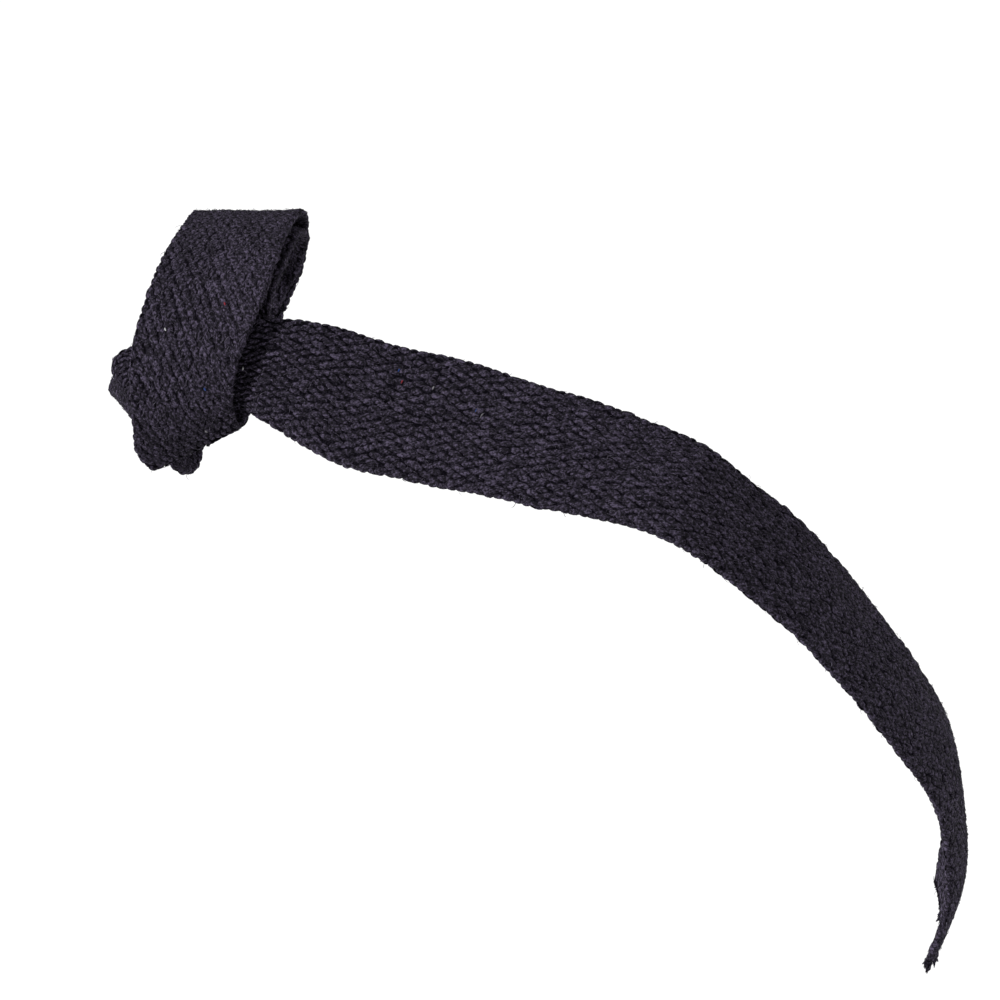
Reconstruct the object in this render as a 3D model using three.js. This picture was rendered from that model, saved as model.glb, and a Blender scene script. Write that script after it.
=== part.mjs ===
// A lifting strap of flat cotton webbing, drawn up as a noose, with its tail hanging over.
// Millimetres. X runs through the noose towards the tail, Y to the side that the tail falls, Z up.
// The origin is the middle of the noose's opening.
import * as THREE from "three";

const WEBBING = { width: 40, thick: 2.4 };
const MESH = { step: 4, fineStep: 2, sharpTurn: 0.4, across: 10 };

// Each row is one section of the webbing, in order from the sewn end to the tail's end.
// x, y, z: the middle of the section. swing and dip: the way from there to the edge that
// starts nearest the tail, in degrees: swing from -Y round to +X, dip below level.
// curl: degrees that the section bends. squeeze: share of the width left where the
// webbing is drawn together.
const COLUMNS = ["x", "y", "z", "swing", "dip", "curl", "squeeze"];
const EYE_FRONT = [
  [-12, 21, -15, 90, 2, 0, 1],
  [-10, 28.5, -3, 90, -1, 0, 1],
  [-6, 32, 9, 92, -4, 0, 1],
  [-3, 29.5, 20, 94, -6, 0, 0.98],
  [3, 21, 28.4, 95, -10, 0, 0.95],
  [8.7, 6.5, 30.2, 98, -14, 0, 0.93],
  [13.6, -8.4, 27, 103, -14, 0, 0.93],
  [17.5, -21.3, 19.2, 111, -15, 0, 0.93],
  [18.5, -30.8, 6.2, 114, -21, 0, 0.91],
  [19, -34.3, -6.2, 116, -28, 0, 0.83],
  [18, -32.5, -17.5, 117, -32, 0, 0.79],
];
const EYE_UNDER = [
  [18.5, -27.5, -24, 118, -31, 0, 0.71],
  [20, -22.5, -15.5, 114, -26, 0, 0.77],
  [20.5, -21.5, -3.5, 112, -22, 0, 0.8],
  [17, -16, 10.5, 110, -17, 0, 0.84],
  [11.5, -2.5, 21, 100, -11, 0, 0.92],
  [6, 12.5, 26, 96, -8, 0, 0.97],
  [0, 25, 20.5, 94, -6, 0, 1],
];
const RING = [
  [-6, 29, 8.5, 92, -4, 0, 1],
  [-10, 25.5, -2, 90, -1, 0, 1],
  [-12, 18.5, -13, 90, 2, 0, 1],
  [-13, 8, -21, 90, 8, 0, 0.95],
  [-12, -3, -27.5, 92, 22, 0, 0.87],
  [-7, -12.8, -29.4, 96, 35, 0, 0.86],
  [-3, -21.4, -26.3, 98, 45, 10, 0.73],
  [-2, -28.5, -16.5, 98, 48, 25, 0.52],
  [-0.5, -32.5, -8.5, 90, 58, 35, 0.48],
  [8, -32, -4, 36, 74, 45, 0.52],
  [19, -26.7, -1, 60, 79, 46, 0.57],
  [30, -22.5, 1.2, 15, 84, 36, 0.62],
];
const TAIL = [
  [40, -20.8, 1.5, 10, 62, 28, 0.75],
  [53, -19.7, 0, 11, 47, 22, 0.9],
  [69, -18, -3, 11, 39, 14, 1],
  [87, -15, -4, 9, 38, 8, 1],
  [111, -11, -6, 10, 32, 6, 1],
  [136, -5, -9, 11, 24, 8, 1],
  [156, 2, -14, 12, 18, 12, 1],
  [171, 11.5, -26, 15, 16, 16, 1],
  [183.5, 20.5, -39, 16, 15, 20, 1],
  [197, 36, -62, 20, 17, 26, 1],
  [207, 50.5, -84, 22, 18, 30, 1],
  [213, 66, -107, 23, 16, 38, 1],
  [213.5, 75, -128, 25, 15, 44, 1],
  [212, 80.5, -150, 26, 14, 56, 1],
  [208, 81, -168, 22, 13, 40, 1],
];

const LEAST_BEND = 0.001;
const radians = THREE.MathUtils.degToRad;

function readRow(row) {
  const named = Object.fromEntries(COLUMNS.map((column, i) => [column, row[i]]));
  const [swing, dip] = [radians(named.swing), radians(named.dip)];
  const place = new THREE.Vector3(named.x, named.y, named.z);
  const toEdge = new THREE.Vector3(
    Math.cos(dip) * Math.sin(swing),
    -Math.cos(dip) * Math.cos(swing),
    -Math.sin(dip),
  );
  return { ...named, place, toEdge };
}

// A smooth curve through values set at the knots, and its slope.
function curveThrough(knots, values) {
  const slopes = values.map((value, i) => {
    const before = Math.max(i - 1, 0);
    const after = Math.min(i + 1, values.length - 1);
    const left = knots[i] - knots[before];
    const right = knots[after] - knots[i];
    if (left === 0) return (values[after] - value) / right;
    if (right === 0) return (value - values[before]) / left;
    const back = (value - values[before]) / left;
    const ahead = (values[after] - value) / right;
    return (back * right + ahead * left) / (left + right);
  });
  return (at) => {
    let i = 0;
    while (i < knots.length - 2 && at > knots[i + 1]) i += 1;
    const span = knots[i + 1] - knots[i];
    const t = (at - knots[i]) / span;
    const h1 = t * t * (3 - 2 * t);
    const h2 = t * (1 - t) * (1 - t) * span;
    const h3 = t * t * (t - 1) * span;
    return values[i] * (1 - h1) + values[i + 1] * h1 + slopes[i] * h2 + slopes[i + 1] * h3;
  };
}

function vectorCurve(knots, vectors) {
  const parts = ["x", "y", "z"].map((axis) => curveThrough(knots, vectors.map((v) => v[axis])));
  return (at) => new THREE.Vector3(...parts.map((part) => part(at)));
}

function chordKnots(rows) {
  const knots = [0];
  for (let i = 1; i < rows.length; i += 1) {
    knots.push(knots[i - 1] + rows[i].place.distanceTo(rows[i - 1].place));
  }
  return knots;
}

function heading(path, at, end) {
  const reach = 0.5;
  const ahead = path(Math.min(at + reach, end));
  return ahead.sub(path(Math.max(at - reach, 0))).normalize();
}

// One section of the webbing: points on its sewn side, then back along the other side.
function section(middle, along, width, curl, squeeze) {
  const across = width.clone().normalize();
  const looks = new THREE.Vector3().crossVectors(along, across).normalize();
  const half = (WEBBING.width / 2) * squeeze;
  const bend = Math.max(radians(curl) / 2, LEAST_BEND);
  const radius = half / bend;
  const level = (radius * Math.sin(bend)) / bend;
  const sides = [1, -1].map((side) =>
    Array.from({ length: MESH.across + 1 }, (_, i) => {
      const turn = bend * ((2 * i) / MESH.across - 1);
      const reach = radius - (side * WEBBING.thick) / 2;
      return middle
        .clone()
        .addScaledVector(across, reach * Math.sin(turn))
        .addScaledVector(looks, level - reach * Math.cos(turn));
    }),
  );
  return [...sides[0], ...sides[1].reverse()];
}

function ribbon(rows) {
  const knots = chordKnots(rows);
  const end = knots[knots.length - 1];
  const path = vectorCurve(knots, rows.map((row) => row.place));
  const width = vectorCurve(knots, rows.map((row) => row.toEdge));
  const curl = curveThrough(knots, rows.map((row) => row.curl));
  const squeeze = curveThrough(knots, rows.map((row) => row.squeeze));

  const stops = [0];
  while (stops[stops.length - 1] < end) {
    const at = stops[stops.length - 1];
    const turning = heading(path, at, end).angleTo(heading(path, Math.min(at + MESH.step, end), end));
    const step = turning > MESH.sharpTurn ? MESH.fineStep : MESH.step;
    stops.push(Math.min(at + step, end));
  }
  const points = [];
  for (const at of stops) {
    points.push(...section(path(at), heading(path, at, end), width(at), curl(at), squeeze(at)));
  }

  const ring = 2 * (MESH.across + 1);
  const faces = [];
  for (let s = 0; s + 1 < stops.length; s += 1) {
    for (let i = 0; i < ring; i += 1) {
      const j = (i + 1) % ring;
      const [a, b, c, d] = [s * ring + i, s * ring + j, (s + 1) * ring + j, (s + 1) * ring + i];
      faces.push(a, c, b, a, d, c);
    }
  }
  const last = (stops.length - 1) * ring;
  for (let i = 0; i < MESH.across; i += 1) {
    const j = ring - 1 - i;
    faces.push(i, i + 1, j, i + 1, j - 1, j);
    faces.push(last + i, last + j, last + i + 1, last + i + 1, last + j, last + j - 1);
  }

  const geometry = new THREE.BufferGeometry();
  geometry.setAttribute("position", new THREE.Float32BufferAttribute(points.flatMap((p) => p.toArray()), 3));
  geometry.setIndex(faces);
  geometry.computeVertexNormals();
  return geometry;
}

const rows = [...EYE_FRONT, ...EYE_UNDER, ...RING, ...TAIL].map(readRow);
const black = new THREE.MeshStandardMaterial({ name: "cotton_black", color: 0x1c1b1f, roughness: 0.95 });
const strap = new THREE.Mesh(ribbon(rows), black);
strap.name = "webbing";

const model = new THREE.Group();
model.add(strap);
export default model;
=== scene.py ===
# A lifting strap of black cotton webbing, drawn up as a noose, with its weave, sewing and frayed end.
import math

import bpy
import numpy as np
from mathutils import Matrix, Vector


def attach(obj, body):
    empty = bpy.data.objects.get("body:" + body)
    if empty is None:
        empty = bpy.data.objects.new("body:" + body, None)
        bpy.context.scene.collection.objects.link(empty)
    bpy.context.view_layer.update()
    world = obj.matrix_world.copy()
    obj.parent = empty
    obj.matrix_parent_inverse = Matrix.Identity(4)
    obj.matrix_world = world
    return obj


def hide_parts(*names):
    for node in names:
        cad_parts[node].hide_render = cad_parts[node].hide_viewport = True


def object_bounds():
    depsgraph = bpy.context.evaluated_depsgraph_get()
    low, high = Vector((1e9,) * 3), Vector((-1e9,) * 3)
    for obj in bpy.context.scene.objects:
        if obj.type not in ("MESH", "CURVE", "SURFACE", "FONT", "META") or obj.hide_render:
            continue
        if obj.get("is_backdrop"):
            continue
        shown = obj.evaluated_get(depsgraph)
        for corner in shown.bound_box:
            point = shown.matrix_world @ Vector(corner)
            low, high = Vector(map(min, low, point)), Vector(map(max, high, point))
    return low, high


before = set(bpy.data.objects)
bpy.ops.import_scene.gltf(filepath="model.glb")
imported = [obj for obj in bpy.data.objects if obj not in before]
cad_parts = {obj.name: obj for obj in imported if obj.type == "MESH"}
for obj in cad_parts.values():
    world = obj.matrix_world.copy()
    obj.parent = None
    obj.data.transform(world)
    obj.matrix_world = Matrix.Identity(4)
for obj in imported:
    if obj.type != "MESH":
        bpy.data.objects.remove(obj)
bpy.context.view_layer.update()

# Sizes are in millimetres, as the strap's tables are, and the meshes in metres.
MM = 0.001
SEED = 11
WEBBING = {"width": 40.0, "thick": 2.4}
LEAST_BEND = 0.001
PATH_SAMPLES = 6000
# How far soft cloth strays from its even form, and the waves that it strays in: a length along the
# webbing for each radian, the radians across its half width, and the radians that it starts at.
RIPPLE = {"long": 0.22, "short": 0.12, "edge": 0.16}
WAVES = {
    "long": (14.7, 1.9, 0.0),
    "swell": (41.0, 0.0, 0.8),
    "short": (6.3, -3.1, 0.7),
    "fade": (23.0, 2.3, 0.0),
    "edge": (5.3, 0.0, 0.0),
}

# The weave: how many yarns run along the webbing, the thickness of the core under them and its relief,
# and how far in from the edge they end.
WEAVE = {"ends": 29, "core": 1.62, "relief": 0.08, "edge": 0.7}
# How far a yarn slips along and strays aside, as shares of the spacing, and the slow wave that it wanders in.
STRAY_YARN = {"slip": 0.1, "aside": 0.1, "wander": 0.13, "wave": 9.0, "apart": 2.4}
# The cross yarns lie closer in the eye than on the tail, which has been pulled long.
PICK = {"eye": 2.1, "tail": 2.7, "from": 250.0, "to": 450.0}

# The small pieces on the cloth: the scale of their meshes along, across and off it, the share that this
# varies by, and the most degrees that a piece leans about each of those directions.
GRAIN = {"length": 2.3, "width": 1.2, "rise": 0.36, "uneven": 0.16, "lean": (7, 8, 13)}
SELVEDGE = {"length": 1.85, "width": 0.98, "rise": 0.85, "uneven": 0.2, "lean": (7, 8, 13)}
STITCH = {"length": 1.55, "width": 0.3, "rise": 0.38, "uneven": 0.06, "lean": (2, 2, 4)}
CUT_YARN = {"length": 1.4, "width": 0.85, "rise": 0.85, "uneven": 0.3, "lean": (60, 28, 34)}
FIBRE = {"length": 1.5, "width": 1.2, "rise": 1.2, "uneven": 0.45, "lean": (20, 4, 0)}
SPECK = {"length": 1.1, "width": 3.6, "rise": 3.6, "uneven": 0.3, "lean": (20, 8, 60)}
# Strands have meshes one long: how many sides, and the rise and girth at each station along them.
STRANDS = {
    "strand": {"sides": 5, "bends": (0.0, 0.1, 0.05, 0.3), "girths": (0.42, 0.45, 0.38, 0.16)},
    "fibre": {"sides": 3, "bends": (0.0, 0.22, 0.26, 0.0), "girths": (0.05, 0.055, 0.05, 0.03)},
    "speck": {"sides": 4, "bends": (0.0, 0.05, 0.06, 0.0), "girths": (0.05, 0.07, 0.06, 0.03)},
}
# Painted highlight and shade: the higher a point of a grain stands, the paler it is painted, so its crown
# takes a painted highlight and its low ends painted shade. A strand takes this share of that painted light
# all over, and a loop at least this share.
STRAND_PAINTED_LIGHT = 0.6
LOOP_PAINTED_LIGHT = 0.55

# How far along the webbing, and the shares of the yarns' width and rise there: flat in the eye,
# round where the tail comes out of it, and flatter again where the tail hangs.
GRAIN_SHARES = [
    [250, 1.00, 1.00],
    [390, 0.78, 2.00],
    [440, 0.82, 1.85],
    [500, 0.90, 1.50],
    [540, 1.00, 1.15],
    [600, 1.00, 1.30],
]
# Every second loop of a selvedge stands only this share as high.
LOW_LOOP = 0.75
# The lap's sewn rectangle, its stitches, and the stretch before and after the ring's start that faces it.
LAP_SEAM = {"near": 6.0, "far": 33.0, "side": 0.82}
SEAM_STITCH = {"step": 3.6, "sunk": 0.35}
LAP_REACH = {"before": 20.0, "after": 60.0}
# The yarns at each cut end, with a longer tuft at one corner and a spur at the other.
CUT_END = {"strands": 4, "start": 0.9, "lift": 0.9, "shortest": 0.7, "longest": 1.2}
TUFT = {"strands": 80, "from": 0.62, "longer": 1.75, "spur": 1.6}
# Loose fibres: how many, their usual turn off the yarns in radians, how near the ends and the edges
# they lie, and how deep.
LOOSE = {"count": 9000, "turn": 0.7, "end": 1.0, "side": 0.98, "sunk": 0.15}

# Lint that has settled on the webbing: how far along it, share across it, side and tint.
LINT = [
    [109, -0.49, 1, "white"],
    [144, 0.36, 1, "pale"],
    [105, 0.38, 1, "red"],
    [130, 0.40, 1, "blue"],
    [382, 0.00, -1, "white"],
    [437, -0.46, -1, "pale"],
    [453, -0.24, -1, "pale"],
    [428, -0.45, -1, "red"],
    [426, -0.61, -1, "blue"],
    [451, -0.30, -1, "blue"],
]
TINTS = {
    "white": (0.60, 0.60, 0.62),
    "pale": (0.26, 0.25, 0.27),
    "red": (0.30, 0.03, 0.04),
    "blue": (0.03, 0.07, 0.26),
}
# The share of its tint that lint keeps deep between its fibres.
TINT_DEEP = 0.5

# Dyed cotton: its darkest colour, between the fibres and as painted shade low down between the yarns, its
# palest, on pale fibres and as painted highlight on the yarns' crowns, and its gloss.
COTTON_GLOSS = 0.12
DYES = {
    # The core shows only in the gaps between the yarns: its black dye is painted darker than theirs, as
    # painted shade in those gaps.
    "core_cotton_and_shade": {"deep": (0.003, 0.0026, 0.004), "pale": (0.03, 0.026, 0.038), "gloss": 0.0},
    "cotton_yarn": {"deep": (0.0038, 0.003, 0.0052), "pale": (0.073, 0.060, 0.097), "gloss": COTTON_GLOSS},
    "sewing_thread": {"deep": (0.008, 0.007, 0.010), "pale": (0.040, 0.036, 0.048), "gloss": 0.35},
    "loose_fibre": {"deep": (0.03, 0.026, 0.038), "pale": (0.16, 0.145, 0.19), "gloss": COTTON_GLOSS},
}
# What adds to the share of the pale colour, and the share that the sum starts from. The crown's part is
# painted light, a painted highlight high on the yarns and painted shade low between them; tone, flecks,
# specks and patches are the dye's own unevenness.
PALE = {"painted_crown_light": 0.12, "tone": 0.14, "flecks": 0.5, "specks": 0.54, "patches": 0.08, "start": -0.2}
# The fibres' pattern: how fine it is along, round and off a yarn, how far two yarns' patterns lie apart,
# and the share that the fuzz adds to its bumps.
FIBRE_FINE = (1.7, 4.2, 3.0)
FIBRE_APART = (31.0, 17.0, 23.0)
FUZZ_BUMP = 0.5
# Sockets that share their name with others of their node go by number.
MIX_COLOUR = {"share": 0, "deep": 6, "pale": 7, "result": 2}
RANDOM_FLOAT = 1

# Each row is one section of the webbing, in order from the sewn end to the tail's end.
# x, y, z: the middle of the section. swing and dip: the way from there to the edge that
# starts nearest the tail, in degrees: swing from -Y round to +X, dip below level.
# curl: degrees that the section bends. squeeze: share of the width left where the
# webbing is drawn together.
COLUMNS = ("x", "y", "z", "swing", "dip", "curl", "squeeze")
EYE_FRONT = [
    [-12, 21, -15, 90, 2, 0, 1],
    [-10, 28.5, -3, 90, -1, 0, 1],
    [-6, 32, 9, 92, -4, 0, 1],
    [-3, 29.5, 20, 94, -6, 0, 0.98],
    [3, 21, 28.4, 95, -10, 0, 0.95],
    [8.7, 6.5, 30.2, 98, -14, 0, 0.93],
    [13.6, -8.4, 27, 103, -14, 0, 0.93],
    [17.5, -21.3, 19.2, 111, -15, 0, 0.93],
    [18.5, -30.8, 6.2, 114, -21, 0, 0.91],
    [19, -34.3, -6.2, 116, -28, 0, 0.83],
    [18, -32.5, -17.5, 117, -32, 0, 0.79],
]
EYE_UNDER = [
    [18.5, -27.5, -24, 118, -31, 0, 0.71],
    [20, -22.5, -15.5, 114, -26, 0, 0.77],
    [20.5, -21.5, -3.5, 112, -22, 0, 0.8],
    [17, -16, 10.5, 110, -17, 0, 0.84],
    [11.5, -2.5, 21, 100, -11, 0, 0.92],
    [6, 12.5, 26, 96, -8, 0, 0.97],
    [0, 25, 20.5, 94, -6, 0, 1],
]
RING = [
    [-6, 29, 8.5, 92, -4, 0, 1],
    [-10, 25.5, -2, 90, -1, 0, 1],
    [-12, 18.5, -13, 90, 2, 0, 1],
    [-13, 8, -21, 90, 8, 0, 0.95],
    [-12, -3, -27.5, 92, 22, 0, 0.87],
    [-7, -12.8, -29.4, 96, 35, 0, 0.86],
    [-3, -21.4, -26.3, 98, 45, 10, 0.73],
    [-2, -28.5, -16.5, 98, 48, 25, 0.52],
    [-0.5, -32.5, -8.5, 90, 58, 35, 0.48],
    [8, -32, -4, 36, 74, 45, 0.52],
    [19, -26.7, -1, 60, 79, 46, 0.57],
    [30, -22.5, 1.2, 15, 84, 36, 0.62],
]
TAIL = [
    [40, -20.8, 1.5, 10, 62, 28, 0.75],
    [53, -19.7, 0, 11, 47, 22, 0.9],
    [69, -18, -3, 11, 39, 14, 1],
    [87, -15, -4, 9, 38, 8, 1],
    [111, -11, -6, 10, 32, 6, 1],
    [136, -5, -9, 11, 24, 8, 1],
    [156, 2, -14, 12, 18, 12, 1],
    [171, 11.5, -26, 15, 16, 16, 1],
    [183.5, 20.5, -39, 16, 15, 20, 1],
    [197, 36, -62, 20, 17, 26, 1],
    [207, 50.5, -84, 22, 18, 30, 1],
    [213, 66, -107, 23, 16, 38, 1],
    [213.5, 75, -128, 25, 15, 44, 1],
    [212, 80.5, -150, 26, 14, 56, 1],
    [208, 81, -168, 22, 13, 40, 1],
]

# The view: where the camera stands round the noose, and the point right and down of it that it looks at.
VIEW = {"azimuth": 35.0, "elevation": 20.0, "distance": 1100.0, "right": 86.5, "down": 50.0}
VIEW_WIDTH = 287.0
SENSOR = 36.0
# The nearest and farthest that the camera sees, and half of the floor's side, in metres.
CLIP = {"near": 0.01, "far": 20.0}
FLOOR_HALF = 4.0
# How far the floor lies under the strap, in millimetres, and its look.
FLOOR_DROP = 130.0
FLOOR_GREY = 0.95
FLOOR_ROUGH = 0.9
SKY = 0.25
# Soft suns: the way to each, its strength and how wide it looks, in degrees.
SUNS = {
    "key": {"way": (-0.50, -0.74, 0.45), "strength": 4.6, "wide": 12.0},
    "rim": {"way": (0.75, 0.40, 0.52), "strength": 1.5, "wide": 40.0},
}


# The strap's form, worked out along its path and across its width.
def column(name):
    rows = np.array(EYE_FRONT + EYE_UNDER + RING + TAIL, dtype=float)
    return rows[:, COLUMNS.index(name)]


def unit(vectors):
    return vectors / np.linalg.norm(vectors, axis=-1, keepdims=True)


def curve_through(knots, values):
    """A smooth curve through values set at the knots."""
    values = values.reshape(len(knots), -1)
    gaps = np.diff(knots)[:, None]
    rises = np.diff(values, axis=0) / gaps
    inner = (rises[:-1] * gaps[1:] + rises[1:] * gaps[:-1]) / (gaps[:-1] + gaps[1:])
    slopes = np.vstack([rises[:1], inner, rises[-1:]])

    def at(way):
        i = np.clip(np.searchsorted(knots, way) - 1, 0, len(gaps) - 1)
        span = gaps[i]
        t = (way - knots[i])[:, None] / span
        blend = t * t * (3 - 2 * t)
        leave = t * (1 - t) ** 2 * span
        arrive = t * t * (t - 1) * span
        return values[i] * (1 - blend) + values[i + 1] * blend + slopes[i] * leave + slopes[i + 1] * arrive

    return at


def edge_directions():
    swing = np.radians(column("swing"))
    dip = np.radians(column("dip"))
    return np.column_stack([np.cos(dip) * np.sin(swing), -np.cos(dip) * np.cos(swing), -np.sin(dip)])


PLACES = np.column_stack([column("x"), column("y"), column("z")])
KNOTS = np.concatenate([[0.0], np.cumsum(np.linalg.norm(np.diff(PLACES, axis=0), axis=1))])
END = KNOTS[-1]
RING_START = KNOTS[len(EYE_FRONT) + len(EYE_UNDER)]
path = curve_through(KNOTS, PLACES)
to_edge = curve_through(KNOTS, edge_directions())
curl = curve_through(KNOTS, column("curl"))
squeeze = curve_through(KNOTS, column("squeeze"))

# The path's true length, and the cross yarns counted along it.
FINE_WAYS = np.linspace(0.0, END, PATH_SAMPLES)
FINE_STEPS = np.linalg.norm(np.diff(path(FINE_WAYS), axis=0), axis=1)
FINE_LENGTHS = np.concatenate([[0.0], np.cumsum(FINE_STEPS)])
LENGTH = FINE_LENGTHS[-1]
PICK_STEPS = np.interp(FINE_LENGTHS[1:], (PICK["from"], PICK["to"]), (PICK["eye"], PICK["tail"]))
FINE_PICKS = np.concatenate([[0.0], np.cumsum(FINE_STEPS / PICK_STEPS)])
PICKS = int(FINE_PICKS[-1])
INSIDE = 1 - 2 * WEAVE["edge"] / WEBBING["width"]


def way_at(length):
    return np.interp(length, FINE_LENGTHS, FINE_WAYS)


def way_of_pick(pick):
    return np.interp(pick, FINE_PICKS, FINE_WAYS)


def pick_share(way):
    """How far apart the cross yarns lie, as a share of their spacing on the tail."""
    return np.interp(way, FINE_WAYS[1:], PICK_STEPS) / PICK["tail"]


def heading(way):
    reach = 0.5
    return unit(path(np.minimum(way + reach, END)) - path(np.maximum(way - reach, 0.0)))


def wave(name, way, share):
    length, lean, start = WAVES[name]
    return way / length + lean * share + start


def ripple(way, share):
    """How far soft cloth strays from the even form, in millimetres."""
    long_wave = np.sin(wave("long", way, share)) * np.sin(wave("swell", way, share))
    short_wave = np.sin(wave("short", way, share)) * np.cos(wave("fade", way, share))
    return RIPPLE["long"] * long_wave + RIPPLE["short"] * short_wave


def webbing_point(way, share, lift):
    """Points of the webbing: way along it, share -1 to 1 across it, lift off its middle to the sewn side."""
    across = unit(to_edge(way))
    looks = unit(np.cross(heading(way), across))
    uneven = RIPPLE["edge"] * np.sin(wave("edge", way, share))
    half = (WEBBING["width"] / 2 + uneven) * squeeze(way)[:, 0]
    bend = np.maximum(np.radians(curl(way)[:, 0]) / 2, LEAST_BEND)
    radius = half / bend
    level = radius * np.sin(bend) / bend
    turn = bend * share
    reach = radius - lift - ripple(way, share)
    sideways = across * (reach * np.sin(turn))[:, None]
    return path(way) + sideways + looks * (level - reach * np.cos(turn))[:, None]


def webbing_axes(way, share, lift):
    """Directions along and across the webbing, and off its sewn side, at those points."""
    step = 0.6
    aside = 0.03
    ahead = webbing_point(np.minimum(way + step, END), share, lift)
    back = webbing_point(np.maximum(way - step, 0.0), share, lift)
    right = webbing_point(way, share + aside, lift)
    left = webbing_point(way, share - aside, lift)
    along = unit(ahead - back)
    across = unit(right - left)
    return along, across, unit(np.cross(along, across))


# Meshes of the small pieces.
def new_mesh(name, points, faces, scale=MM):
    mesh = bpy.data.meshes.new(name)
    mesh.from_pydata((np.asarray(points) * scale).tolist(), [], [list(face) for face in faces])
    mesh.polygons.foreach_set("use_smooth", [True] * len(mesh.polygons))
    mesh.update()
    return mesh


def new_object(name, mesh, material=None):
    piece = bpy.data.objects.new(name, mesh)
    bpy.context.scene.collection.objects.link(piece)
    if material:
        mesh.materials.append(material)
    return piece


def set_attribute(mesh, name, kind, values):
    field = {"FLOAT": "value", "FLOAT_VECTOR": "vector"}[kind]
    attribute = mesh.attributes.new(name, kind, "POINT")
    attribute.data.foreach_set(field, np.ascontiguousarray(values, dtype=np.float32).ravel())


def grain_mesh(name, least_painted_light):
    """Half of a plump grain, one long each way, whose ends dive into the cloth: what shows of a yarn."""
    stations = (-0.82, -0.44, 0.0, 0.44, 0.82)
    girths = (0.6, 0.92, 1.0, 0.92, 0.6)
    sinks = (0.26, 0.05, 0.0, 0.05, 0.26)
    angles = np.radians((-14.0, 38.0, 90.0, 142.0, 194.0))
    tip = -0.5
    top = 0.5
    twist = 0.5
    points = [(-1.0, 0.0, tip)]
    fibres = [(-1.0, top - twist, 0.0)]
    for x, girth, sink in zip(stations, girths, sinks):
        points += [(x, girth * math.cos(a), girth * math.sin(a) - sink) for a in angles]
        fibres += [(x, a / math.pi + twist * x, 0.0) for a in angles]
    points.append((1.0, 0.0, tip))
    fibres.append((1.0, top + twist, 0.0))
    sides = len(angles)
    faces = []
    for ring in range(len(stations) - 1):
        for side in range(sides - 1):
            a = 1 + ring * sides + side
            faces.append((a, a + 1, a + sides + 1, a + sides))
    last = 1 + (len(stations) - 1) * sides
    for side in range(sides - 1):
        faces.append((0, 2 + side, 1 + side))
        faces.append((len(points) - 1, last + side, last + side + 1))
    mesh = new_mesh(name, points, faces, 1.0)
    # Each point's height, kept to paint a highlight on the crown and shade on the low ends.
    set_attribute(mesh, "painted_crown_light", "FLOAT", np.clip([point[2] for point in points], least_painted_light, 1.0))
    set_attribute(mesh, "fibre", "FLOAT_VECTOR", fibres)
    return mesh


def strand_mesh(name, sides, bends, girths):
    """A strand one long from the origin along X, bent up and as thick as those values say."""
    points = []
    for i, (rise, girth) in enumerate(zip(bends, girths)):
        x = i / (len(bends) - 1)
        for side in range(sides):
            turn = 2 * math.pi * side / sides
            points.append((x, girth * math.cos(turn), rise + girth * math.sin(turn)))
    faces = [tuple(reversed(range(sides)))]
    for start in range(0, (len(bends) - 1) * sides, sides):
        for side in range(sides):
            other = (side + 1) % sides
            faces.append((start + side, start + other, start + sides + other, start + sides + side))
    faces.append(tuple(len(points) - sides + side for side in range(sides)))
    mesh = new_mesh(name, points, faces, 1.0)
    # One even share of painted light all over the strand.
    set_attribute(mesh, "painted_crown_light", "FLOAT", np.full(len(points), STRAND_PAINTED_LIGHT))
    set_attribute(mesh, "fibre", "FLOAT_VECTOR", points)
    return mesh


# The node tree that sets small pieces on the cloth.
def add_node(tree, kind, settings=None, values=None):
    node = tree.nodes.new(kind)
    for name, value in (settings or {}).items():
        setattr(node, name, value)
    for name, value in (values or {}).items():
        node.inputs[name].default_value = value
    return node


def add_sockets(tree, inputs, outputs):
    for in_out, sockets in (("INPUT", inputs), ("OUTPUT", outputs)):
        for name, kind in sockets.items():
            tree.interface.new_socket(name, in_out=in_out, socket_type="NodeSocket" + kind)


def carrier_vector(tree, name):
    node = add_node(tree, "GeometryNodeInputNamedAttribute", {"data_type": "FLOAT_VECTOR"}, {"Name": name})
    return node.outputs["Attribute"]


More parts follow.
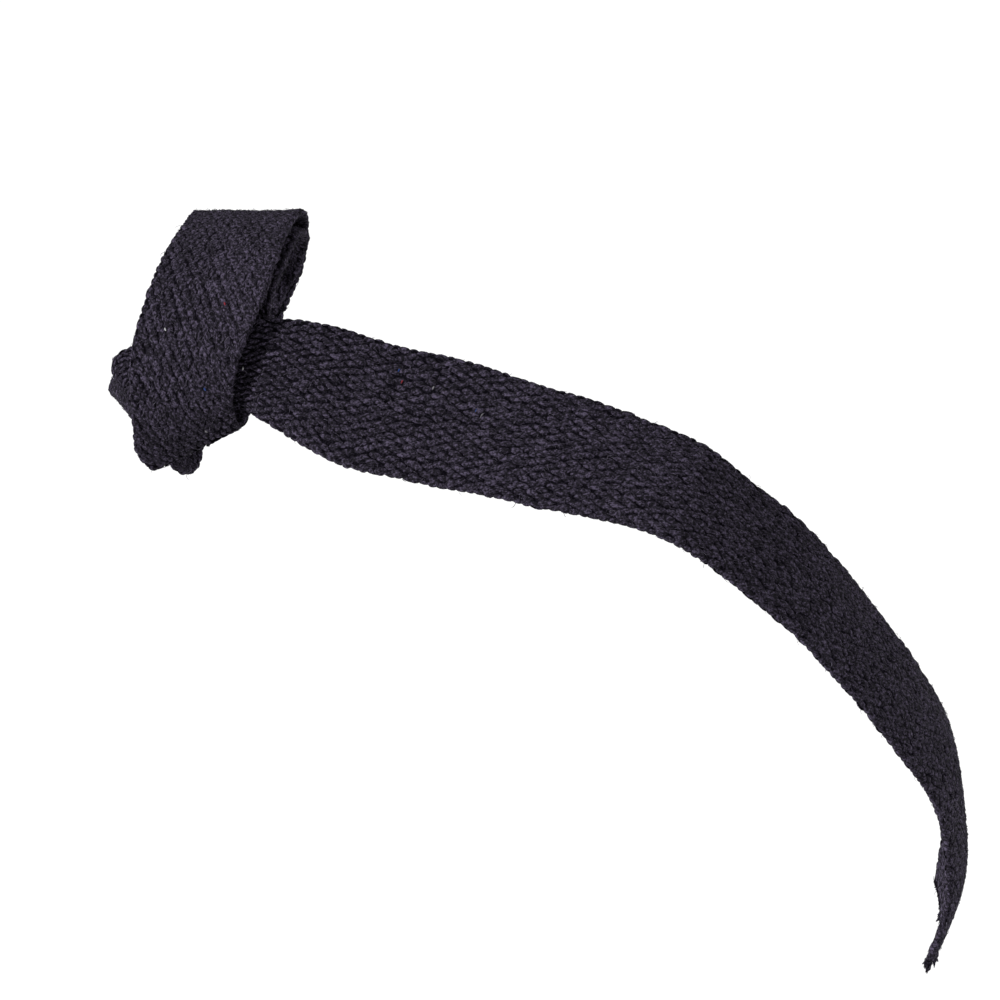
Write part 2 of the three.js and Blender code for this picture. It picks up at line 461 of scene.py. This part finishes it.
def setting_tree():
    """Sets a small piece on each point of a carrier, turned as the cloth there lies."""
    tree = bpy.data.node_groups.new("set_on_cloth", "GeometryNodeTree")
    inputs = {
        "Carrier": "Geometry",
        "Piece": "Object",
        "Size": "Vector",
        "Uneven": "Float",
        "Stray": "Vector",
        "Seed": "Int",
        "Finish": "Material",
    }
    add_sockets(tree, inputs, {"Pieces": "Geometry"})
    link = tree.links.new
    given = add_node(tree, "NodeGroupInput")
    result = add_node(tree, "NodeGroupOutput")

    piece = add_node(tree, "GeometryNodeObjectInfo")
    link(given.outputs["Piece"], piece.inputs["Object"])
    stand = add_node(tree, "FunctionNodeAlignRotationToVector", {"axis": "Z"})
    link(carrier_vector(tree, "looks"), stand.inputs["Vector"])
    turn = add_node(tree, "FunctionNodeAlignRotationToVector", {"axis": "X", "pivot_axis": "Z"})
    link(stand.outputs["Rotation"], turn.inputs["Rotation"])
    link(carrier_vector(tree, "along"), turn.inputs["Vector"])

    # A random lean of each piece, up to the stray angles either way.
    either_way = {"Min": (-1, -1, -1), "Max": (1, 1, 1)}
    centred = add_node(tree, "FunctionNodeRandomValue", {"data_type": "FLOAT_VECTOR"}, either_way)
    link(given.outputs["Seed"], centred.inputs["Seed"])
    lean = add_node(tree, "ShaderNodeVectorMath", {"operation": "MULTIPLY"})
    link(centred.outputs[0], lean.inputs[0])
    link(given.outputs["Stray"], lean.inputs[1])
    leaning = add_node(tree, "FunctionNodeEulerToRotation")
    link(lean.outputs[0], leaning.inputs[0])
    turned = add_node(tree, "FunctionNodeRotateRotation", {"rotation_space": "LOCAL"})
    link(turn.outputs["Rotation"], turned.inputs["Rotation"])
    link(leaning.outputs[0], turned.inputs["Rotate By"])

    # A random share of the size, and the spread that the carrier gives.
    most = add_node(tree, "ShaderNodeMath", {"operation": "ADD"}, {0: 1.0})
    least = add_node(tree, "ShaderNodeMath", {"operation": "SUBTRACT"}, {0: 1.0})
    link(given.outputs["Uneven"], most.inputs[1])
    link(given.outputs["Uneven"], least.inputs[1])
    share = add_node(tree, "FunctionNodeRandomValue", {"data_type": "FLOAT_VECTOR"})
    link(least.outputs[0], share.inputs["Min"])
    link(most.outputs[0], share.inputs["Max"])
    seed_on = add_node(tree, "ShaderNodeMath", {"operation": "ADD"}, {1: 1.0})
    link(given.outputs["Seed"], seed_on.inputs[0])
    link(seed_on.outputs[0], share.inputs["Seed"])
    sized = add_node(tree, "ShaderNodeVectorMath", {"operation": "MULTIPLY"})
    link(share.outputs[0], sized.inputs[0])
    link(given.outputs["Size"], sized.inputs[1])
    fitted = add_node(tree, "ShaderNodeVectorMath", {"operation": "MULTIPLY"})
    link(sized.outputs[0], fitted.inputs[0])
    link(carrier_vector(tree, "spread"), fitted.inputs[1])

    placed = add_node(tree, "GeometryNodeInstanceOnPoints")
    link(given.outputs["Carrier"], placed.inputs["Points"])
    link(piece.outputs["Geometry"], placed.inputs["Instance"])
    link(turned.outputs["Rotation"], placed.inputs["Rotation"])
    link(fitted.outputs[0], placed.inputs["Scale"])

    # Each piece keeps a tone of its own for the material.
    tone = add_node(tree, "FunctionNodeRandomValue", {"data_type": "FLOAT"})
    link(given.outputs["Seed"], tone.inputs["Seed"])
    per_piece = {"data_type": "FLOAT", "domain": "INSTANCE"}
    toned = add_node(tree, "GeometryNodeStoreNamedAttribute", per_piece, {"Name": "tone"})
    link(placed.outputs["Instances"], toned.inputs["Geometry"])
    link(tone.outputs[RANDOM_FLOAT], toned.inputs["Value"])
    real = add_node(tree, "GeometryNodeRealizeInstances")
    link(toned.outputs["Geometry"], real.inputs["Geometry"])
    finished = add_node(tree, "GeometryNodeSetMaterial")
    link(real.outputs["Geometry"], finished.inputs["Geometry"])
    link(given.outputs["Finish"], finished.inputs["Material"])
    link(finished.outputs["Geometry"], result.inputs["Pieces"])
    return tree


def set_pieces(name, tree, piece, kind, places, seed, finish):
    """One mesh of a small piece of that kind, set at all those places on the cloth."""
    points, along, looks, spread = places
    dots = bpy.data.meshes.new("carrier")
    dots.from_pydata((points * MM).tolist(), [], [])
    set_attribute(dots, "along", "FLOAT_VECTOR", along)
    set_attribute(dots, "looks", "FLOAT_VECTOR", looks)
    set_attribute(dots, "spread", "FLOAT_VECTOR", spread)
    carrier = new_object(name + "_carrier", dots)
    modifier = carrier.modifiers.new("set_on_cloth", "NODES")
    modifier.node_group = tree
    inputs = {
        "Piece": piece,
        "Size": tuple(MM * kind[side] for side in ("length", "width", "rise")),
        "Uneven": kind["uneven"],
        "Stray": tuple(math.radians(angle) for angle in kind["lean"]),
        "Seed": seed,
        "Finish": finish,
    }
    for item in tree.interface.items_tree:
        if item.in_out == "INPUT" and item.name in inputs:
            modifier[item.identifier] = inputs[item.name]
    graph = bpy.context.evaluated_depsgraph_get()
    mesh = bpy.data.meshes.new_from_object(carrier.evaluated_get(graph), depsgraph=graph)
    mesh.name = name
    bpy.data.objects.remove(carrier)
    return new_object(name, mesh)


# Where the small pieces of the cloth lie.
def joined(sets):
    return [np.vstack(parts) for parts in zip(*sets)]


def grain_places(side):
    """A yarn shows on this side over every second cross yarn, and its neighbours over the others."""
    ends = np.arange(WEAVE["ends"])
    pairs = np.arange(PICKS // 2)
    end, pair = (grid.ravel() for grid in np.meshgrid(ends, pairs))
    chance = np.random.default_rng(SEED + (side < 0))
    slip = chance.normal(0.0, STRAY_YARN["slip"], end.shape)
    way = way_of_pick(2 * pair + (end + (side < 0)) % 2 + 0.5 + slip)
    wander = STRAY_YARN["wander"] * np.sin(way / STRAY_YARN["wave"] + STRAY_YARN["apart"] * end)
    wander += chance.normal(0.0, STRAY_YARN["aside"], end.shape)
    share = INSIDE * ((end + 0.5 + wander) * 2 / WEAVE["ends"] - 1)
    lift = np.full(way.shape, side * WEAVE["core"] / 2)
    along, _, looks = webbing_axes(way, share, lift)
    lengths, widths, rises = np.array(GRAIN_SHARES).T
    stations = way_at(lengths)
    narrow = squeeze(way)[:, 0] * np.interp(way, stations, widths)
    spread = np.column_stack([pick_share(way), narrow, np.interp(way, stations, rises)])
    return webbing_point(way, share, lift), along, looks * side, spread


def selvedge_places():
    """The cross yarn turns back round the last end: a loop at every second pass, a lower one between."""
    sets = []
    for edge in (-1, 1):
        pick = np.arange(PICKS)
        way = way_of_pick(pick + 0.5)
        stands = np.where(pick % 2 == (edge > 0), 1.0, LOW_LOOP) * squeeze(way)[:, 0]
        share = np.full(way.shape, edge * INSIDE)
        lift = np.zeros(way.shape)
        along, _, looks = webbing_axes(way, share, lift)
        outward = edge * unit(np.cross(looks, along))
        spread = np.column_stack([pick_share(way), np.ones(len(way)), stands])
        sets.append((webbing_point(way, share, lift), along, outward, spread))
    return joined(sets)


def facing_way(way):
    """Where the ring passes under the lap at those places."""
    past_start = FINE_WAYS - RING_START
    ring = FINE_WAYS[(past_start > -LAP_REACH["before"]) & (past_start < LAP_REACH["after"])]
    gaps = np.linalg.norm(path(way)[:, None] - path(ring)[None], axis=2)
    return ring[np.argmin(gaps, axis=1)]


def stitch_places():
    """A plain sewn rectangle holds the lap, and its thread shows on both faces."""
    near, far, side = LAP_SEAM["near"], LAP_SEAM["far"], LAP_SEAM["side"]
    corners = [(near, -side), (far, -side), (far, side), (near, side), (near, -side)]
    sets = []
    for (way_a, share_a), (way_b, share_b) in zip(corners, corners[1:]):
        run = math.hypot(way_b - way_a, (share_b - share_a) * WEBBING["width"] / 2)
        count = round(run / SEAM_STITCH["step"])
        steps = (np.arange(count) + 0.5) / count
        share = share_a + (share_b - share_a) * steps
        lap_way = way_a + (way_b - way_a) * steps
        lift = np.full(count, WEBBING["thick"] / 2 - SEAM_STITCH["sunk"])
        for way in (lap_way, facing_way(lap_way)):
            along, across, looks = webbing_axes(way, share, lift)
            line = along if share_a == share_b else across
            sets.append((webbing_point(way, share, lift), line, looks, np.ones((count, 3))))
    return joined(sets)


def cut_places():
    """Yarn ends that stand out of the two cut ends, longest at the corners."""
    chance = np.random.default_rng(SEED + 7)
    row = np.linspace(-1, 1, WEAVE["ends"] * CUT_END["strands"])
    tuft = np.linspace(TUFT["from"], 1, TUFT["strands"])
    share = INSIDE * np.concatenate([row, tuft])
    longer = np.concatenate([np.ones(len(row)), np.full(len(tuft), TUFT["longer"])])
    longer[: CUT_END["strands"]] = TUFT["spur"]
    count = len(share)
    sets = []
    for start, sign in ((CUT_END["start"], -1), (END - CUT_END["start"], 1)):
        way = np.full(count, start)
        lift = chance.uniform(-CUT_END["lift"], CUT_END["lift"], count)
        along, _, looks = webbing_axes(way, share, lift)
        lengths = longer * chance.uniform(CUT_END["shortest"], CUT_END["longest"], count)
        spread = np.column_stack([lengths, np.ones(count), np.ones(count)])
        sets.append((webbing_point(way, share, lift), along * sign, looks, spread))
    return joined(sets)


def fuzz_places():
    """Loose fibres that lie on both faces, most of them along the yarns."""
    chance = np.random.default_rng(SEED + 9)
    count = LOOSE["count"]
    way = way_at(chance.uniform(LOOSE["end"], LENGTH - LOOSE["end"], count))
    share = chance.uniform(-LOOSE["side"], LOOSE["side"], count)
    side = chance.choice((-1.0, 1.0), count)
    lift = side * (WEBBING["thick"] / 2 - LOOSE["sunk"])
    along, across, looks = webbing_axes(way, share, lift)
    turn = chance.normal(0.0, LOOSE["turn"], count)[:, None]
    line = along * np.cos(turn) + across * np.sin(turn)
    return webbing_point(way, share, lift), line, looks * side[:, None], np.ones((count, 3))


def lint_places(tint):
    rows = [place for *place, colour in LINT if colour == tint]
    length, share, side = np.array(rows, dtype=float).T
    way = way_at(length)
    lift = side * WEBBING["thick"] / 2
    along, across, looks = webbing_axes(way, share, lift)
    return webbing_point(way, share, lift), along + across, looks * side[:, None], np.ones((len(way), 3))


def cloth_mesh():
    """The webbing's core: a closed band with a low relief of its weave, under the yarns that show."""
    picks = np.arange(0.0, PICKS + 0.5, 0.5)
    ways = np.append(way_of_pick(picks), END)
    picks = np.append(picks, FINE_PICKS[-1])
    ends = np.concatenate([[-0.5], np.arange(WEAVE["ends"]), [WEAVE["ends"] - 0.5]])
    rows = []
    for side in (1, -1):
        order = ends[::side]
        pick, end = (grid.ravel() for grid in np.meshgrid(picks, order, indexing="ij"))
        way = np.repeat(ways, len(order))
        share = INSIDE * ((end + 0.5) * 2 / WEAVE["ends"] - 1)
        relief = WEAVE["relief"] * side * np.sin(math.pi * pick) * np.cos(math.pi * end)
        points = webbing_point(way, share, side * (WEAVE["core"] / 2 + relief))
        rows.append(points.reshape(len(ways), len(order), 3))
    points = np.concatenate(rows, axis=1)
    ring = points.shape[1]
    faces = []
    for station in range(len(ways) - 1):
        for i in range(ring):
            j = (i + 1) % ring
            a, b = station * ring + i, station * ring + j
            faces.append((a, a + ring, b + ring, b))
    last = (len(ways) - 1) * ring
    for i in range(len(ends) - 1):
        j = ring - 1 - i
        faces.append((i, i + 1, j - 1, j))
        faces.append((last + i, last + j, last + j - 1, last + i + 1))
    return new_mesh("webbing_cloth", points.reshape(-1, 3), faces)


# Finishes. One group gives cotton its uneven dye, its fibres, and painted highlight and shade on its yarns.
def cotton_group():
    """Painted shade low down between the yarns, painted highlight on their crowns, and paler along some of
    their fibres.
    """
    tree = bpy.data.node_groups.new("dyed_cotton", "ShaderNodeTree")
    add_sockets(
        tree,
        {"Deep": "Color", "Pale": "Color", "Tone": "Float", "Painted Crown Light": "Float", "Fibre": "Vector"},
        {"Color": "Color", "Roughness": "Float", "Height": "Float"},
    )
    link = tree.links.new
    given = add_node(tree, "NodeGroupInput")
    result = add_node(tree, "NodeGroupOutput")
    apart = add_node(tree, "ShaderNodeVectorMath", {"operation": "SCALE"}, {0: FIBRE_APART})
    link(given.outputs["Tone"], apart.inputs["Scale"])
    spun = add_node(tree, "ShaderNodeVectorMath", {"operation": "MULTIPLY_ADD"}, {1: FIBRE_FINE})
    link(given.outputs["Fibre"], spun.inputs[0])
    link(apart.outputs[0], spun.inputs[2])
    fibres = add_node(tree, "ShaderNodeTexNoise", values={"Scale": 1.0, "Detail": 3.0, "Roughness": 0.7})
    link(spun.outputs[0], fibres.inputs["Vector"])
    place = add_node(tree, "ShaderNodeTexCoord")
    fuzz = add_node(tree, "ShaderNodeTexNoise", values={"Scale": 1500.0, "Detail": 1.0, "Roughness": 0.6})
    link(place.outputs["Object"], fuzz.inputs["Vector"])
    patches = add_node(tree, "ShaderNodeTexNoise", values={"Scale": 110.0, "Detail": 2.0})
    link(place.outputs["Object"], patches.inputs["Vector"])

    flecks = add_node(tree, "ShaderNodeMapRange", values={"From Min": 0.44, "From Max": 0.58})
    link(fibres.outputs["Fac"], flecks.inputs["Value"])
    specks = add_node(tree, "ShaderNodeMapRange", values={"From Min": 0.44, "From Max": 0.6})
    link(fuzz.outputs["Fac"], specks.inputs["Value"])

    # The share of pale dye adds up from these, painted light from the crown and the dye's own unevenness from
    # the rest, and its square keeps most of the yarn dark.
    sources = {
        "painted_crown_light": given.outputs["Painted Crown Light"],
        "tone": given.outputs["Tone"],
        "flecks": flecks.outputs["Result"],
        "specks": specks.outputs["Result"],
        "patches": patches.outputs["Fac"],
    }
    total = None
    for name, source in sources.items():
        values = {1: PALE[name], 2: PALE["start"]}
        step = add_node(tree, "ShaderNodeMath", {"operation": "MULTIPLY_ADD"}, values)
        link(source, step.inputs[0])
        if total:
            link(total, step.inputs[2])
        total = step.outputs[0]
    step.use_clamp = True
    squared = add_node(tree, "ShaderNodeMath", {"operation": "MULTIPLY"})
    link(total, squared.inputs[0])
    link(total, squared.inputs[1])
    colour = add_node(tree, "ShaderNodeMix", {"data_type": "RGBA"})
    link(squared.outputs[0], colour.inputs[MIX_COLOUR["share"]])
    link(given.outputs["Deep"], colour.inputs[MIX_COLOUR["deep"]])
    link(given.outputs["Pale"], colour.inputs[MIX_COLOUR["pale"]])
    link(colour.outputs[MIX_COLOUR["result"]], result.inputs["Color"])
    rough = add_node(tree, "ShaderNodeMapRange", values={"To Min": 0.98, "To Max": 0.78})
    link(fibres.outputs["Fac"], rough.inputs["Value"])
    link(rough.outputs["Result"], result.inputs["Roughness"])
    height = add_node(tree, "ShaderNodeMath", {"operation": "MULTIPLY_ADD"}, {1: FUZZ_BUMP})
    link(fuzz.outputs["Fac"], height.inputs[0])
    link(fibres.outputs["Fac"], height.inputs[2])
    link(height.outputs[0], result.inputs["Height"])
    return tree


def cotton_material(name, group, deep, pale, gloss):
    material = bpy.data.materials.new(name)
    material.use_nodes = True
    tree = material.node_tree
    shader = tree.nodes["Principled BSDF"]
    shader.inputs["Specular IOR Level"].default_value = gloss
    dye = add_node(tree, "ShaderNodeGroup", {"node_tree": group})
    dye.inputs["Deep"].default_value = (*deep, 1.0)
    dye.inputs["Pale"].default_value = (*pale, 1.0)
    tone = add_node(tree, "ShaderNodeAttribute", {"attribute_name": "tone"})
    # The height attribute drives painted highlight on crowns and painted shade low down.
    painted_crown_light = add_node(tree, "ShaderNodeAttribute", {"attribute_name": "painted_crown_light"})
    fibre = add_node(tree, "ShaderNodeAttribute", {"attribute_name": "fibre"})
    ridge = add_node(tree, "ShaderNodeBump", values={"Strength": 0.9, "Distance": 0.0005})
    link = tree.links.new
    link(tone.outputs["Fac"], dye.inputs["Tone"])
    link(painted_crown_light.outputs["Fac"], dye.inputs["Painted Crown Light"])
    link(fibre.outputs["Vector"], dye.inputs["Fibre"])
    link(dye.outputs["Color"], shader.inputs["Base Color"])
    link(dye.outputs["Roughness"], shader.inputs["Roughness"])
    link(dye.outputs["Height"], ridge.inputs["Height"])
    link(ridge.outputs["Normal"], shader.inputs["Normal"])
    return material


def make_strap():
    group = cotton_group()
    core, yarn, thread, fuzz = (cotton_material(name, group, **dye) for name, dye in DYES.items())
    tree = setting_tree()
    grain = new_object("grain_shape", grain_mesh("grain", 0.0))
    loop = new_object("loop_shape", grain_mesh("loop", LOOP_PAINTED_LIGHT))
    strand, fibre, speck = (
        new_object(name + "_shape", strand_mesh(name, **shape)) for name, shape in STRANDS.items()
    )

    cloth = new_object("webbing_cloth", cloth_mesh(), core)
    trims = [
        set_pieces("yarns_face", tree, grain, GRAIN, grain_places(1), SEED, yarn),
        set_pieces("yarns_back", tree, grain, GRAIN, grain_places(-1), SEED + 2, yarn),
        set_pieces("edge_loops", tree, loop, SELVEDGE, selvedge_places(), SEED + 4, yarn),
        set_pieces("lap_stitches", tree, loop, STITCH, stitch_places(), SEED + 6, thread),
        set_pieces("cut_yarns", tree, strand, CUT_YARN, cut_places(), SEED + 8, yarn),
        set_pieces("loose_fibres", tree, fibre, FIBRE, fuzz_places(), SEED + 10, fuzz),
    ]
    for tint, pale in TINTS.items():
        name = "lint_" + tint
        deep = tuple(TINT_DEEP * part for part in pale)
        finish = cotton_material(name, group, deep, pale, COTTON_GLOSS)
        trims.append(set_pieces(name, tree, speck, SPECK, lint_places(tint), SEED + 12, finish))
    for shape in (grain, loop, strand, fibre, speck):
        bpy.data.objects.remove(shape)
    return cloth, trims


# The studio: a pale floor, soft light and the view.
def studio():
    low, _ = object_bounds()
    level = low.z - FLOOR_DROP * MM
    corners = [(-1, -1), (1, -1), (1, 1), (-1, 1)]
    points = [(FLOOR_HALF * x, FLOOR_HALF * y, level) for x, y in corners]
    floor = new_object("floor", new_mesh("floor", points, [(0, 1, 2, 3)], 1.0))
    material = bpy.data.materials.new("floor_white")
    material.use_nodes = True
    shader = material.node_tree.nodes["Principled BSDF"]
    shader.inputs["Base Color"].default_value = (FLOOR_GREY, FLOOR_GREY, FLOOR_GREY, 1.0)
    shader.inputs["Roughness"].default_value = FLOOR_ROUGH
    floor.data.materials.append(material)
    floor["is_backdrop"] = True

    scene = bpy.context.scene
    scene.view_settings.view_transform = "Standard"
    world = bpy.data.worlds.new("studio")
    world.use_nodes = True
    sky = world.node_tree.nodes["Background"]
    sky.inputs["Color"].default_value = (1.0, 1.0, 1.0, 1.0)
    sky.inputs["Strength"].default_value = SKY
    scene.world = world
    for name, sun in SUNS.items():
        lamp = bpy.data.lights.new(name, "SUN")
        lamp.energy = sun["strength"]
        lamp.angle = math.radians(sun["wide"])
        light = bpy.data.objects.new(name, lamp)
        light.rotation_euler = Vector(sun["way"]).to_track_quat("Z", "Y").to_euler()
        scene.collection.objects.link(light)


def photo_camera():
    turn, tilt = math.radians(VIEW["azimuth"]), math.radians(VIEW["elevation"])
    near = Vector((math.sin(turn) * math.cos(tilt), -math.cos(turn) * math.cos(tilt), math.sin(tilt)))
    right = Vector((math.cos(turn), math.sin(turn), 0.0))
    up = near.cross(right)
    place = near * VIEW["distance"]
    aim = right * VIEW["right"] - up * VIEW["down"]
    back = (place - aim).normalized()
    right = (right - back * right.dot(back)).normalized()
    up = back.cross(right)
    camera = bpy.data.cameras.new("photo_view")
    camera.sensor_width = SENSOR
    camera.lens = SENSOR * VIEW["distance"] / VIEW_WIDTH
    camera.clip_start = CLIP["near"]
    camera.clip_end = CLIP["far"]
    piece = bpy.data.objects.new("photo_view", camera)
    piece.matrix_world = Matrix.Translation(place * MM) @ Matrix((right, up, back)).transposed().to_4x4()
    bpy.context.scene.collection.objects.link(piece)
    bpy.context.scene.camera = piece


photo_camera()
cloth, trims = make_strap()
studio()
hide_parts("webbing")
for piece in (cloth, *trims):
    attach(piece, "root")
